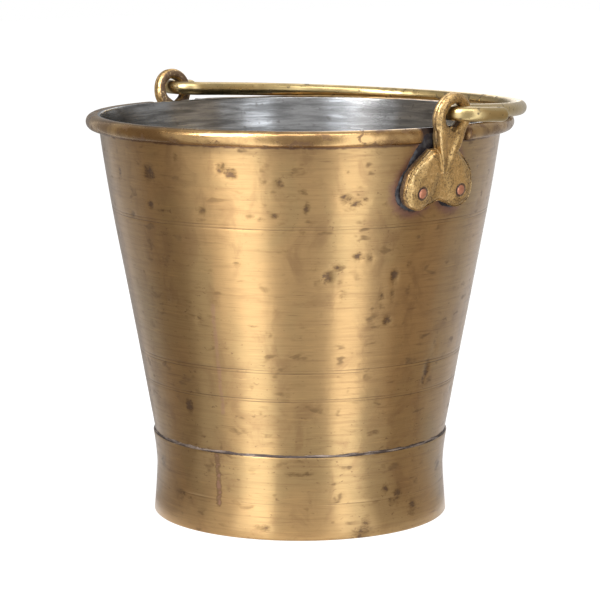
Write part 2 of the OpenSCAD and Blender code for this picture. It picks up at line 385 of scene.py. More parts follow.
def makeTurnedBrass(name, isFoot):
    values = turnedBrass
    material, tree, shader = newMaterial(name)
    cloud = noiseNode(tree, 14, (1, 1, 0.7), 4, 0.6, 0.6)
    patch = noiseNode(tree, 42, (1, 1, 0.8), 4, 0.6, 0.8)
    streak = noiseNode(tree, 1, (22, 22, 420), 4, 0.65)
    hair = noiseNode(tree, 1, (45, 45, 1500), 3, 0.6)
    dash = noiseNode(tree, 1, (38, 38, 620), 3, 0.55, 0.2)
    blotch = noiseNode(tree, 190, (0.8, 0.8, 1.5), 4, 0.65, 0.5)
    freckle = noiseNode(tree, 95, (0.75, 0.75, 1.6), 2, 0.5, 0.3)
    fleck = noiseNode(tree, 330, (0.8, 0.8, 1.5), 3, 0.6, 0.3)
    colour = mixColours(rampNode(cloud, 0.38, 0.62), values["warm"], values["olive"])
    colour = tinted(colour, values["brown"], patch, 0.48, 0.72, 0, 0.6)
    colour = tinted(colour, values["brown"], streak, 0.46, 0.74, 0, 0.45)
    colour = tinted(colour, values["line"], hair, 0.30, 0.62, 0.14, 0)
    colour = tinted(colour, values["line"], dash, 0.62, 0.74, 0, 0.45)
    colour = tinted(colour, values["dashLight"], dash, 0.40, 0.26, 0, 0.5)
    # freckles of old tarnish, thicker in some places than in others
    speckle = times(rampNode(freckle, 0.60, 0.72), rampNode(patch, 0.40, 0.60, 0.2, 0.9))
    colour = mixColours(speckle, colour, values["halo"])
    fleckMask = times(rampNode(fleck, 0.62, 0.72), rampNode(cloud, 0.4, 0.6, 0.15, 0.75))
    colour = mixColours(fleckMask, colour, values["line"])
    ragged = times(mathNode("SUBTRACT", blotch, 0.5), 1.1)
    spot = attributeNode(tree, "stain")
    dirtAndShade = speckle
    if isFoot:
        seam = addShare(attributeNode(tree, "seam"), ragged, 0.55)
        colour = tinted(colour, values["line"], seam, 0.70, 0.86, 0, 0.7)
        colour = tinted(colour, values["seamPink"], seam, 0.85, 0.95, 0, 0.65)
    else:
        # painted shade in the crease under the bead
        crease = addShare(attributeNode(tree, "crease"), ragged, 0.4)
        colour = tinted(colour, values["crease"], crease, 0.44, 0.66, 0, 0.85)
        scar = addShare(attributeNode(tree, "scar"), ragged, 0.35)
        colour = tinted(colour, values["seamPink"], scar, 0.80, 0.92, 0, 0.4)
        # round each ear: violet discolouration, then dark crust and painted shade where the ear meets the
        # wall
        near = addShare(attributeNode(tree, "earNear"), ragged, 0.4)
        colour = tinted(colour, values["violet"], near, 0.25, 0.75, 0, 0.8)
        colour = tinted(colour, values["crustAndShade"], near, 0.72, 0.92, 0, 0.95)
        dirtAndShade = larger(dirtAndShade, rampNode(near, 0.6, 0.9))
    haloMask = rampNode(addShare(spot, ragged, 0.9), 0.15, 0.5, 0, 0.8)
    haloMask = times(haloMask, rampNode(spot, 0.02, 0.25))
    colour = mixColours(haloMask, colour, values["halo"])
    spotMask = rampNode(addShare(spot, ragged, 1.5), 0.40, 0.66, 0, 0.8)
    spotMask = times(spotMask, rampNode(spot, 0.1, 0.35))
    colour = mixColours(spotMask, colour, values["stain"])
    grooveMask = times(rampNode(attributeNode(tree, "groove"), 0.1, 0.8),
                       rampNode(streak, 0.25, 0.6, 1, 0.7))
    colour = mixColours(grooveMask, colour, values["groove"])
    dirtAndShade = larger(dirtAndShade, larger(spotMask, grooveMask))
    rough = addShare(values["roughness"], mathNode("SUBTRACT", streak, 0.5), 0.18)
    normal = bumpNode(streak, 0.5, 0.15 * mm)
    normal = bumpNode(hair, 0.25, 0.05 * mm, normal)
    normal = bumpNode(patch, 0.5, 0.35 * mm, normal)
    normal = bumpNode(blotch, 0.4, 0.14 * mm, normal)
    wire(shader, colour, rampNode(dirtAndShade, 0.2, 1, 1, 0.85), addShare(rough, dirtAndShade, 0.2), normal)
    radialTangent(shader, values["anisotropy"])
    shader.inputs["Coat Weight"].default_value = values["coat"]
    shader.inputs["Coat Roughness"].default_value = values["coatRoughness"]
    shader.inputs["Sheen Weight"].default_value = values["sheen"]
    shader.inputs["Sheen Roughness"].default_value = values["sheenRoughness"]
    shader.inputs["Sheen Tint"].default_value = values["sheenTint"]
    return material


tinLining = {
    "dull": (0.15, 0.148, 0.146),
    "bright": (0.34, 0.338, 0.338),
    # also the colour of the painted shade low down inside
    "stain": (0.08, 0.07, 0.06),
    "roughness": 0.16,
    "anisotropy": 0.5,
}


def makeTin():
    values = tinLining
    material, tree, shader = newMaterial("tinLining")
    smear = noiseNode(tree, 1, (22, 22, 240), 5, 0.65, 0.25)
    streak = noiseNode(tree, 1, (30, 30, 420), 4, 0.65, 0.2)
    speck = noiseNode(tree, 240, (1, 1, 1), 3, 0.6)
    colour = mixColours(rampNode(smear, 0.36, 0.66), values["dull"], values["bright"])
    colour = tinted(colour, values["dull"], streak, 0.5, 0.8, 0, 0.4)
    colour = tinted(colour, values["stain"], speck, 0.6, 0.72, 0, 0.6)
    # painted shade: the tin darkens low down inside the bucket
    lowShadeMask = times(attributeNode(tree, "depth"), rampNode(smear, 0.3, 0.6, 0.9, 0.3))
    colour = mixColours(lowShadeMask, colour, values["stain"])
    normal = bumpNode(smear, 0.15, 0.2 * mm)
    normal = bumpNode(streak, 0.25, 0.12 * mm, normal)
    normal = bumpNode(speck, 0.3, 0.1 * mm, normal)
    wire(shader, colour, 1, rampNode(smear, 0.35, 0.7, 0.26, values["roughness"]), normal)
    radialTangent(shader, values["anisotropy"])
    return material


castBrass = {
    "gold": (0.58, 0.375, 0.155),
    "olive": (0.40, 0.255, 0.10),
    "pit": (0.075, 0.04, 0.018),
    # dark colour for grime and painted shade in the ears' recesses
    "crustAndShade": (0.06, 0.034, 0.030),
    "worn": (0.85, 0.63, 0.33),
    "roughness": 0.42,
}


def makeCastBrass():
    values = castBrass
    material, tree, shader = newMaterial("castBrass")
    cloud = noiseNode(tree, 55, (1, 1, 1), 4, 0.6, 0.5)
    grain = noiseNode(tree, 520, (1, 1, 1), 4, 0.65, 0.3)
    pits = noiseNode(tree, 900, (1, 1, 1), 2, 0.6)
    worn = attributeNode(tree, "worn")
    grimeAndShade = attributeNode(tree, "grimeAndShade")
    colour = mixColours(rampNode(cloud, 0.38, 0.62), values["gold"], values["olive"])
    colour = mixColours(times(worn, 0.7), colour, values["worn"])
    # grime and painted shade from the ear's mask pull the cast brass towards the dark colour
    grimeAndShadeMask = times(rampNode(addShare(grimeAndShade, grain, 0.7), 0.5, 0.95), rampNode(grimeAndShade, 0.04, 0.3))
    colour = mixColours(times(grimeAndShadeMask, 0.85), colour, values["crustAndShade"])
    pitMask = larger(rampNode(pits, 0.54, 0.62, 0, 0.85), rampNode(grain, 0.54, 0.64, 0, 0.8))
    pitMask = times(pitMask, rampNode(cloud, 0.38, 0.56, 0.3, 1))
    wornSpot = times(rampNode(grain, 0.46, 0.36, 0, 0.6), rampNode(cloud, 0.6, 0.4))
    colour = mixColours(wornSpot, colour, values["worn"])
    colour = mixColours(pitMask, colour, values["pit"])
    dirtAndShade = larger(grimeAndShadeMask, pitMask)
    rough = mathNode("SUBTRACT", addShare(values["roughness"], dirtAndShade, 0.25), times(worn, 0.08))
    normal = bumpNode(grain, 0.55, 0.25 * mm)
    normal = bumpNode(pits, 0.4, 0.15 * mm, normal)
    wire(shader, colour, rampNode(dirtAndShade, 0.2, 1, 1, 0.6), rough, normal)
    return material


rodBrass = {
    "gold": (0.50, 0.37, 0.175),
    "olive": (0.35, 0.26, 0.12),
    # dark colour for spots, grime and painted shade inside the hooks
    "dark": (0.06, 0.042, 0.025),
    "roughness": 0.23,
}


def makeRodBrass():
    values = rodBrass
    material, tree, shader = newMaterial("rodBrass")
    cloud = noiseNode(tree, 30, (1, 1, 1), 4, 0.6, 0.6)
    grain = noiseNode(tree, 420, (1, 1, 1), 4, 0.6)
    spots = noiseNode(tree, 160, (1, 1, 1), 2, 0.5)
    grimeAndShade = attributeNode(tree, "grimeAndShade")
    colour = mixColours(rampNode(cloud, 0.36, 0.64), values["gold"], values["olive"])
    # grime and painted shade inside the hooks, plus random dark spots, pull the rod towards the dark
    # colour
    grimeAndShadeMask = times(rampNode(addShare(grimeAndShade, grain, 0.6), 0.6, 1.0), rampNode(grimeAndShade, 0.03, 0.25))
    dirtAndShade = larger(times(grimeAndShadeMask, 0.9), rampNode(spots, 0.63, 0.70, 0, 0.75))
    colour = mixColours(dirtAndShade, colour, values["dark"])
    rough = addShare(addShare(values["roughness"], grain, 0.12), dirtAndShade, 0.2)
    normal = bumpNode(grain, 0.25, 0.1 * mm)
    normal = bumpNode(cloud, 0.3, 0.5 * mm, normal)
    wire(shader, colour, rampNode(dirtAndShade, 0.2, 1, 1, 0.6), rough, normal)
    return material


beadBrass = {
    "gold": (0.45, 0.285, 0.125),
    "brown": (0.27, 0.16, 0.07),
    # dark colour for spots, and for patina and painted shade at the bead's cut ends
    "spot": (0.11, 0.055, 0.026),
    # painted shade colour for the crease under the bead
    "crease": (0.085, 0.040, 0.016),
    "roughness": 0.23,
}


def makeBeadBrass():
    values = beadBrass
    material, tree, shader = newMaterial("rimBrass")
    cloud = noiseNode(tree, 34, (1, 1, 1), 4, 0.6, 0.6)
    grain = noiseNode(tree, 300, (1, 1, 1), 4, 0.65)
    spots = noiseNode(tree, 120, (1, 1, 1.6), 3, 0.6, 0.4)
    colour = mixColours(rampNode(cloud, 0.38, 0.62), values["gold"], values["brown"])
    # painted shade in the crease under the bead
    creaseShadeMask = rampNode(addShare(attributeNode(tree, "crease"), grain, 0.4), 0.75, 1.1)
    # patina and painted shade darken the bead at its cut ends beside each ear, besides random spots
    near = rampNode(addShare(attributeNode(tree, "earNear"), grain, 0.5), 0.75, 1.15)
    spotMask = larger(rampNode(spots, 0.54, 0.66, 0, 0.75), times(near, 0.9))
    colour = mixColours(spotMask, colour, values["spot"])
    colour = mixColours(creaseShadeMask, colour, values["crease"])
    dirtAndShade = larger(creaseShadeMask, spotMask)
    normal = bumpNode(grain, 0.35, 0.15 * mm)
    wire(shader, colour, rampNode(dirtAndShade, 0.2, 1, 1, 0.6),
         addShare(values["roughness"], dirtAndShade, 0.25), normal)
    return material


copperLook = {
    "bright": (0.55, 0.24, 0.15),
    "dull": (0.42, 0.18, 0.11),
    # dark rim colour: grime and painted shade round the dome
    "edge": (0.04, 0.022, 0.022),
}


def makeCopper():
    values = copperLook
    material, tree, shader = newMaterial("copperHead")
    cloud = noiseNode(tree, 260, (1, 1, 1), 3, 0.6)
    colour = mixColours(rampNode(cloud, 0.4, 0.65), values["bright"], values["dull"])
    # grime and painted shade darken the rim of the dome
    edge = rampNode(addShare(attributeNode(tree, "grimeAndShade"), cloud, 0.4), 0.7, 1.1)
    colour = mixColours(edge, colour, values["edge"])
    wire(shader, colour, rampNode(edge, 0, 1, 0.9, 0.5),
         rampNode(cloud, 0.3, 0.7, 0.38, 0.5), bumpNode(cloud, 0.4, 0.2 * mm))
    return material


seamLook = {
    "light": (0.22, 0.17, 0.14),
    "dark": (0.05, 0.034, 0.027),
    "darkShare": 0.53,
    "lumps": (48, 48, 520),
}
# the solder round the ears is near black: dark solder, and painted shade behind the ears
shadedBedLook = {
    "light": (0.055, 0.053, 0.056),
    "dark": (0.018, 0.014, 0.017),
    "darkShare": 0.5,
    "lumps": (150, 150, 150),
}


def makeSolder(name, values):
    material, tree, shader = newMaterial(name)
    lump = noiseNode(tree, 1, values["lumps"], 4, 0.65, 0.4)
    grain = noiseNode(tree, 620, (1, 1, 1), 3, 0.6)
    bare = rampNode(lump, values["darkShare"] - 0.08, values["darkShare"] + 0.1)
    colour = mixColours(bare, values["dark"], values["light"])
    colour = tinted(colour, values["dark"], grain, 0.58, 0.72, 0, 0.6)
    wire(shader, colour, 0.6, rampNode(lump, 0.3, 0.7, 0.62, 0.42), bumpNode(grain, 0.5, 0.2 * mm))
    return material


shellBrass = makeTurnedBrass("shellBrass", False)
footBrass = makeTurnedBrass("footBrass", True)
rimBrass = makeBeadBrass()
tin = makeTin()
earBrass = makeCastBrass()
bailBrass = makeRodBrass()
copperHead = makeCopper()
seamSolder = makeSolder("seamSolder", seamLook)
shadedEarSolder = makeSolder("shadedEarSolder", shadedBedLook)
print("materials made")


# the bucket's shell: wall, bottom, lip and rolled bead in one mesh

# height in mm, and how deep and dark each is
grooves = [(243, 0.25), (218.2, 0.8), (216.2, 1), (119, 0.9), (117, 1), (98.6, 0.9), (96.9, 1)]
grooves = [(height * mm, share) for height, share in grooves]
grooveHalf = 0.45 * mm
grooveDepth = 0.3 * mm


def wallHeights(low, high, step, lines):
    count = round((high - low) / step)
    heights = [low + (high - low) * i / count for i in range(count + 1)]
    extra = [line + side * grooveHalf for line, _ in lines for side in (-1, 0, 1)]
    kept = [z for z in heights if all(abs(z - e) > 0.7 * mm for e in extra)]
    return sorted(kept + extra)


def buildShell():
    bm = bmesh.new()
    bottom = bodyBox[0][2]
    low = bottom + shell["bottomRound"]
    corner = wallRadius(low) - shell["bottomRound"]
    arc = [(math.sin(a), -math.cos(a)) for a in [math.radians(15 * i) for i in range(7)]]
    creaseZ = beadHeight + shell["beadRadius"] * math.sin(shell["creaseAngle"])
    crease = (beadTrack + shell["beadRadius"] * math.cos(shell["creaseAngle"]), creaseZ)
    lip = (lipRadius - 0.2 * mm, lipHeight + 0.03 * mm)
    steps = shell["columns"]

    # inside first, so that its faces can take the tin
    floorZ = bottom + shell["bottomThick"]
    innerRound = shell["bottomRound"] - shell["bottomThick"]
    innerCorner = corner + shell["bottomRound"] - shell["wall"] - innerRound
    inside = [(innerCorner * i / 16, floorZ) for i in range(16)]
    inside += [(innerCorner + innerRound * x, floorZ + innerRound + innerRound * z) for x, z in arc]
    within = wallHeights(floorZ + innerRound + mm, lipHeight - 1.6 * mm, shell["innerStep"], [])
    inside += [(wallRadius(z) - shell["wall"], z) for z in within]
    inside += [(lipRadius - shell["wall"] + 0.02 * mm, lipHeight - 0.5 * mm),
               (lipRadius - shell["wall"] + 0.3 * mm, lipHeight - 0.1 * mm),
               (lipRadius - 0.9 * mm, lipHeight + 0.05 * mm), lip]
    spinProfile(bm, inside, steps)
    for face in bm.faces:
        face.material_index = 1

    outside = [(corner * i / 12, bottom) for i in range(12)]
    outside += [(corner + shell["bottomRound"] * x, low + shell["bottomRound"] * z) for x, z in arc]
    heights = wallHeights(low + mm, creaseZ - 0.8 * mm, shell["rowStep"], grooves)
    outside += [(wallRadius(z), z) for z in heights]
    outside.append(crease)
    spinProfile(bm, outside, steps)

    # the bead runs between the notches; in a notch the wall goes straight up to its lip
    way = shell["beadStart"] + 2 * math.pi - shell["creaseAngle"]
    turns = [shell["beadStart"] - way * i / 26 for i in range(1, 26)]
    bead = [(beadTrack + shell["beadRadius"] * math.cos(a),
             beadHeight + shell["beadRadius"] * math.sin(a)) for a in turns]
    bare = [(wallRadius(creaseZ + i * mm) - 0.02 * mm * i, creaseZ + i * mm) for i in (2, 4, 6, 7.7)]
    notch = shell["notchColumns"]
    column = 2 * math.pi / steps
    along = steps // 2 - 2 * notch
    before = set(bm.faces)
    for side in (0, math.pi):
        spinProfile(bm, [lip] + bead + [crease], along, side + notch * column, along * column)
    beadFaces = set(bm.faces) - before
    for side in (0, math.pi):
        profile = [lip] + bare[::-1] + [crease]
        spinProfile(bm, profile, 2 * notch, side - notch * column, 2 * notch * column)
    for face in beadFaces:
        face.material_index = 2
    bmesh.ops.remove_doubles(bm, verts=bm.verts, dist=1e-6)
    ends = [edge for edge in bm.edges if edge.is_boundary]
    caps = bmesh.ops.holes_fill(bm, edges=ends, sides=0)["faces"]
    for face in caps:
        face.material_index = 2
    closeMesh(bm)
    return bm, crease


def shapeShell(bm, crease):
    names = ("stain", "groove", "earNear", "crease", "depth", "scar")
    stainLayer, grooveLayer, nearLayer, creaseShadeLayer, lowShadeLayer, scarLayer = addLayers(bm, *names)
    notchAngle = shell["notchColumns"] * 2 * math.pi / shell["columns"]
    for vert in bm.verts:
        x, y, z, radius, angle, ringed = ringPlace(vert)
        isOutside = radius > wallRadius(z) - 0.3 * shell["wall"]
        onBead = z > crease[1] + 0.1 * mm and isOutside
        fromEar = earDistance(angle, z, radius)
        # earNear: nearness to an ear, for a violet tint and for painted shade where the ear meets the wall
        vert[nearLayer] = 1 - min(max(fromEar / (14 * mm), 0), 1)
        # depth: painted shade, darker low down inside
        vert[lowShadeLayer] = 1 - blendStep(50 * mm, 200 * mm, z)
        # the crease value marks the band where the bead meets the wall, for painted shade under the bead
        if isOutside:
            away = math.hypot(radius - crease[0], z - crease[1])
            vert[creaseShadeLayer] = 1 - min(away / (7 * mm), 1)
        if radius < shell["bottomReach"]:
            if z < shell["wall"] + bodyBox[0][2]:
                vert[stainLayer] = 0.35 + 0.45 * bumps(x * 45, y * 45, 8)
            vert.co.z += shell["bottomRipple"] * bumps(x * 18, y * 18, 4)
            continue
        fade = blendStep(60 * mm, 78 * mm, z) * (1 - blendStep(258 * mm, 272 * mm, z))
        fade *= blendStep(3 * mm, 14 * mm, fromEar)
        wide = bumps(2.2 * ringed.x, 2.2 * ringed.y, z * 9)
        small = bumps(x * 38, y * 38, z * 22 + 5)
        move = fade * (shell["outOfRound"] * wide + shell["ripple"] * small)
        depth, stain = dentAt(angle, z, radius)
        move -= fade * depth
        if isOutside:
            vert[stainLayer] = stain
            wander = 0.6 * mm * bumps(0, 7, z * 90)
            aside = abs((angle - shell["scarAngle"]) * radius - wander) / (9 * mm)
            beyond = max(abs(z - shell["scarMiddle"]) - shell["scarHalf"], 0) / (9 * mm)
            vert[scarLayer] = 1 - min(math.hypot(aside, beyond), 1)
        if isOutside and not onBead:
            for height, share in grooves:
                if abs(z - height) < 0.05 * mm:
                    patchy = 0.65 + 0.6 * bumps(x * 30, y * 30, z * 400)
                    vert[grooveLayer] = share * patchy
                    move -= grooveDepth * share * patchy
        # on the bead, earNear marks its cut ends beside each ear, which get patina and painted shade
        if onBead:
            turn = min(abs(angle), math.pi - abs(angle)) - notchAngle
            vert[nearLayer] = 1 - min(max(turn * radius, 0) / (6 * mm), 1)
        if onBead and radius > lipRadius + mm:
            worn = bumps(x * 60, y * 60, z * 60)
            ding = max(bumps(x * 130, y * 130, z * 130 + 9) - 0.35, 0)
            shrink = 0.05 * mm * (worn - 0.6) - 0.9 * mm * ding
            centre = ringed * beadTrack + Vector((0, 0, beadHeight))
            vert.co += (vert.co - centre).normalized() * shrink
        vert.co += ringed * move


shellMesh, creasePoint = buildShell()
shapeShell(shellMesh, creasePoint)
shellLooks = [shellBrass, tin, rimBrass]
finishPiece("bucketShell", shellMesh, shellLooks, "vessel", ["bucket_body"])


# the foot ring: a rolled strip with a brazed joint

foot = {
    "thick": 1.4 * mm,
    "waistHeight": 34 * mm,
    "waistRadius": 102.0 * mm,
    "narrowing": 2.6 * mm,
    "spread": 2.4 * mm,
    "grooves": [(50.5, 0.35), (43.0, 0.3), (24.4, 0.8), (22.9, 0.35)],
    "seamAngle": math.radians(-73.8),
    "seamLow": 21 * mm,
    "columns": 300,
    "rowStep": 1.6 * mm,
    "outOfRound": 0.12 * mm,
    "ripple": 0.14 * mm,
}


def footRadius(z):
    if z > foot["waistHeight"]:
        part = (z - foot["waistHeight"]) / (footBox[1][2] - foot["waistHeight"])
        flare = foot["waistRadius"] + foot["narrowing"] * part ** 1.5
        return max(flare, wallRadius(z) + 0.05 * mm + foot["thick"])
    return foot["waistRadius"] + foot["spread"] * ((foot["waistHeight"] - z) / foot["waistHeight"]) ** 1.5


# angle in degrees, then height, half width and half height in mm
footStains = [
    (-17, 3, 6, 4), (-15, 10, 3, 4), (-6, 31, 3, 3), (0, 27, 3, 6), (-3, 22, 2.5, 3), (8, 16, 4, 5),
    (-40, 46, 8, 1.4), (-55, 8, 5, 2), (-95, 24, 5, 2), (-110, 40, 4, 4), (30, 38, 5, 3), (60, 20, 4, 4),
    (90, 42, 5, 3), (120, 12, 5, 3), (150, 34, 4, 4), (178, 18, 6, 2), (-150, 30, 4, 5),
]


def buildFoot():
    bm = bmesh.new()
    top = footBox[1][2]
    lines = [(height * mm, share) for height, share in foot["grooves"]]
    heights = wallHeights(0.8 * mm, top - 0.35 * mm, foot["rowStep"], lines)
    profile = [(footRadius(0) - 0.45 * mm, 0)]
    profile += [(footRadius(0.3 * mm) - 0.08 * mm, 0.3 * mm)]
    profile += [(footRadius(z), z) for z in heights]
    profile += [(footRadius(top) - 0.3 * mm, top), (footRadius(top) - foot["thick"] + 0.3 * mm, top)]
    within = wallHeights(0.5 * mm, top - 0.4 * mm, 3 * mm, [])
    profile += [(footRadius(z) - foot["thick"], z) for z in reversed(within)]
    profile += [(footRadius(0) - foot["thick"] + 0.35 * mm, 0), profile[0]]
    spinProfile(bm, profile, foot["columns"])
    closeMesh(bm)
    stainLayer, grooveLayer, seamLayer = addLayers(bm, "stain", "groove", "seam")
    for vert in bm.verts:
        x, y, z, radius, angle, ringed = ringPlace(vert)
        isOutside = radius > footRadius(z) - 0.6 * foot["thick"]
        fade = 1 - blendStep(40 * mm, 50 * mm, z)
        move = fade * foot["ripple"] * bumps(x * 30, y * 30, z * 22 + 2)
        move += fade * foot["outOfRound"] * bumps(2.5 * ringed.x, 2.5 * ringed.y, z * 6)
        if isOutside:
            for height, share in lines:
                if abs(z - height) < 0.05 * mm:
                    patchy = 0.6 + 0.7 * bumps(x * 30, y * 30, z * 400)
                    vert[grooveLayer] = share * patchy
                    move -= grooveDepth * share * patchy
            turn = (angle - foot["seamAngle"]) * radius
            wander = 0.5 * mm * bumps(0, 3, z * 120)
            across = abs(turn - wander) / (9 * mm)
            above = max(foot["seamLow"] - z, 0) / (9 * mm)
            vert[seamLayer] = 1 - min(math.hypot(across, above), 1)
            stain = 0
            for spotAngle, height, halfWidth, halfHeight in footStains:
                along = turnBetween(angle, math.radians(spotAngle)) * radius / (halfWidth * mm)
                reach = math.hypot(along, (z - height * mm) / (halfHeight * mm))
                stain = max(stain, 0.6 * (1 - reach / 2.2))
            vert[stainLayer] = stain
        else:
            vert[stainLayer] = 0.35 + 0.45 * bumps(x * 40, y * 40, z * 60)
        vert.co += ringed * move
    return bm


finishPiece("footRing", buildFoot(), [footBrass], "vessel", ["foot_ring"])


# the solder that was run round the top of the foot ring

seamBead = {
    "sunk": 0.1 * mm,
    "inWall": 0.5 * mm,
    "height": 2.2,  # this and the section are in mm
    "section": [(0, 0), (1.7, 0), (1.65, 0.5), (1.45, 1.0), (1.2, 1.5), (1.0, 1.9), (0.6, 2.2),
                (0.2, 2.2), (0, 0)],
    "columns": 720,
}


def buildFootSolder():
    bm = bmesh.new()
    low = footBox[1][2] - seamBead["sunk"]
    inner = wallRadius(low) - seamBead["inWall"]
    profile = [(inner + out * mm, low + up * mm) for out, up in seamBead["section"]]
    spinProfile(bm, profile, seamBead["columns"])
    closeMesh(bm)
    for vert in bm.verts:
        x, y, z = vert.co
        up = (z - low) / (seamBead["height"] * mm)
        ringed = Vector((x, y, 0)).normalized()
        lump = bumps(x * 110, y * 110, 1)
        rough = bumps(x * 420, y * 420, z * 500)
        vert.co.z += up * (0.75 * lump - 0.15) * mm
        vert.co += ringed * up * (0.35 * rough + 0.25 * lump - 0.1) * mm
    return bm


finishPiece("footSolder", buildFootSolder(), [seamSolder], "vessel", ["foot_solder"])


# the cast ears

cast = {
    "voxel": 0.55 * mm,
    "smoothing": 4,
    "limbGrowth": 1.0 * mm,
    "plateGrowth": 0.7 * mm,
    "pillow": 1.5 * mm,
    "parting": 0.38 * mm,
    "webDepth": 1.4 * mm,
    "webRoot": 15 * mm,
    "webWidening": 0.245,
    "webLean": 0.10,
    "pitting": 0.13 * mm,
    "rivetSeat": 4.4 * mm,
    "seatDepth": 0.6 * mm,
}


def remeshed(source, voxel):
    # a closed, even copy of a node's mesh, ready for shaping
    bm = bmesh.new()
    bm.from_mesh(source.data)
    bmesh.ops.remove_doubles(bm, verts=bm.verts, dist=1e-6)
    bmesh.ops.recalc_face_normals(bm, faces=bm.faces)
    holder = meshObject("rough", bm)
    remesh = holder.modifiers.new("voxels", "REMESH")
    remesh.mode = "VOXEL"
    remesh.voxel_size = voxel
    graph = bpy.context.evaluated_depsgraph_get()
    result = bmesh.new()
    result.from_mesh(holder.evaluated_get(graph).to_mesh())
    rough = holder.data
    bpy.data.objects.remove(holder)
    bpy.data.meshes.remove(rough)
    return result


def earMeasures(u, v, w, normal):
    fromEye = math.hypot(u - ear["eyeShift"], v - ear["eyeHeight"])
    fromRivet = math.hypot(abs(u) - ear["rivetHalf"], v)
    sideways = 1 - min(abs(normal.z) / 0.6, 1)
    middle = ear["eyeMiddle"] if v > ear["eyeStart"] else ear["plateMiddle"]
    return fromEye, fromRivet, sideways, w - middle


def buildEar(node, side):
    bm = remeshed(frame["nodes"][node], cast["voxel"])
    place = Matrix.Scale(side, 4, (1, 0, 0)) @ earPlace
    bmesh.ops.transform(bm, matrix=place.inverted(), verts=bm.verts)
    for _ in range(cast["smoothing"]):
        bmesh.ops.smooth_vert(bm, verts=bm.verts, factor=0.5,
                              use_axis_x=True, use_axis_y=True, use_axis_z=True)
    bm.normal_update()
    normals = {vert: vert.normal.copy() * (1 if side > 0 else -1) for vert in bm.verts}
    eyeRadius = ear["eyeHole"] + ear["eyeRim"] / 2
    for vert in bm.verts:
        u, v, w = vert.co
        normal = normals[vert]
        edge, reach = armDistance(u, v)
        fromEye, fromRivet, sideways, fromMiddle = earMeasures(u, v, w, normal)
        onPlate = 1 - blendStep(22 * mm, 32 * mm, v)
        if w > 3 * mm and normal.z > 0.2:
            part = blendStep(4.5 * mm, 12 * mm, reach)
            vert.co.z -= cast["pillow"] * part * onPlate
        # the eye is round in section, fuller at the front
        fromRing = abs(fromEye - eyeRadius)
        onRing = blendStep(36 * mm, 44 * mm, v) * (1 - blendStep(4.4 * mm, 6 * mm, fromRing))
        across = min(fromRing / (ear["eyeRim"] / 2), 1.2)
        vert.co.z += (ear["eyeMiddle"] - w) * 0.22 * onRing * across * across
        # the web between the limbs lies lower than the limbs
        up = v - cast["webRoot"]
        within = cast["webWidening"] * up - abs(u - cast["webLean"] * up)
        inWeb = blendStep(-1.6 * mm, 2.4 * mm, within)
        below = 1 - blendStep(35 * mm, 43 * mm, v)
        if w > 5 * mm and normal.z > 0:
            vert.co.z -= cast["webDepth"] * inWeb * below * blendStep(17 * mm, 24 * mm, v)
        # the limbs stand a little fuller than they were drawn
        flat = Vector((normal.x, normal.y, 0))
        outer = blendStep(0, 1, (fromEye - eyeRadius) / mm) * blendStep(20 * mm, 34 * mm, v)
        outer *= 1 - blendStep(44 * mm, 54 * mm, v)
        vert.co += flat * cast["limbGrowth"] * outer * (1 if u < ear["eyeShift"] else 0.5)
        atEdge = blendStep(-1.5 * mm, -0.5 * mm, edge) * (1 - blendStep(20 * mm, 28 * mm, v))
        vert.co += flat * cast["plateGrowth"] * atEdge
        # parting line round the edge
        sunk = cast["parting"] * sideways * math.exp(-(fromMiddle / (0.45 * mm)) ** 2)
        if fromEye > eyeRadius or v < ear["eyeStart"]:
            vert.co -= normal * sunk
        # the plate is pressed in a little round each rivet
        if w > 4 * mm:
            away = blendStep(cast["rivetSeat"] - 0.5 * mm, cast["rivetSeat"] + 0.5 * mm, fromRivet)
            vert.co.z -= cast["seatDepth"] * (1 - away)
        fine = bumps(u * 900, v * 900, w * 900 + side)
        coarse = bumps(u * 260, v * 260, w * 260 - side)
        pit = -max(fine - 0.1, 0) * 1.6 - 0.5 * abs(coarse)
        if w > 1.2 * mm:
            vert.co += normal * cast["pitting"] * pit
    wornLayer, grimeAndShadeLayer = addLayers(bm, "worn", "grimeAndShade")
    bm.normal_update()
    for vert in bm.verts:
        u, v, w = vert.co
        normal = vert.normal * (1 if side > 0 else -1)
        fromEye, fromRivet, sideways, fromMiddle = earMeasures(u, v, w, normal)
        around = [edge.other_vert(vert).co for edge in vert.link_edges]
        mean = sum(around, Vector()) / len(around)
        bulge = (vert.co - mean).dot(normal) / (0.14 * mm)
        onWeb = abs(u) < 8 * mm and 14 * mm < v < 42 * mm
        vert[wornLayer] = min(max(bulge, 0), 1) * (0.35 if onWeb else 1)
        # darker round each rivet seat, along the parting line, next to the wall and inside the eye: partly
        # grime, partly painted shade in these recesses
        grimeAndShade = 1 - blendStep(3.9 * mm, 5.4 * mm, fromRivet)
        grimeAndShade = max(grimeAndShade, 1 - blendStep(0.3 * mm, 2.6 * mm, w))
        grimeAndShade = max(grimeAndShade, 0.8 * sideways * math.exp(-(fromMiddle / (0.5 * mm)) ** 2))
        inEye = 1 - blendStep(ear["eyeHole"], ear["eyeHole"] + 1.5 * mm, fromEye)
        vert[grimeAndShadeLayer] = max(grimeAndShade, 0.7 * inEye * sideways)
    return placed(bm, place)


finishPiece("earRight", buildEar("ear_right", 1), [earBrass], "vessel", ["ear_right"])
finishPiece("earLeft", buildEar("ear_left", -1), [earBrass], "vessel", ["ear_left"])


# solder squeezed out round the ears

def wallOut(u, v):
    # how far the curved wall stands out from the ear's flat back, below 0 where it lies behind
    point = earPlace @ Vector((u, v, 0))
    return (wallRadius(point.z) - math.hypot(point.x, point.y)) * math.cos(earLean)


bed = {
    "width": 76 * mm,
    "length": 54 * mm,
    "middle": 12 * mm,
    "top": 38 * mm,
    "inWall": 0.6 * mm,
}


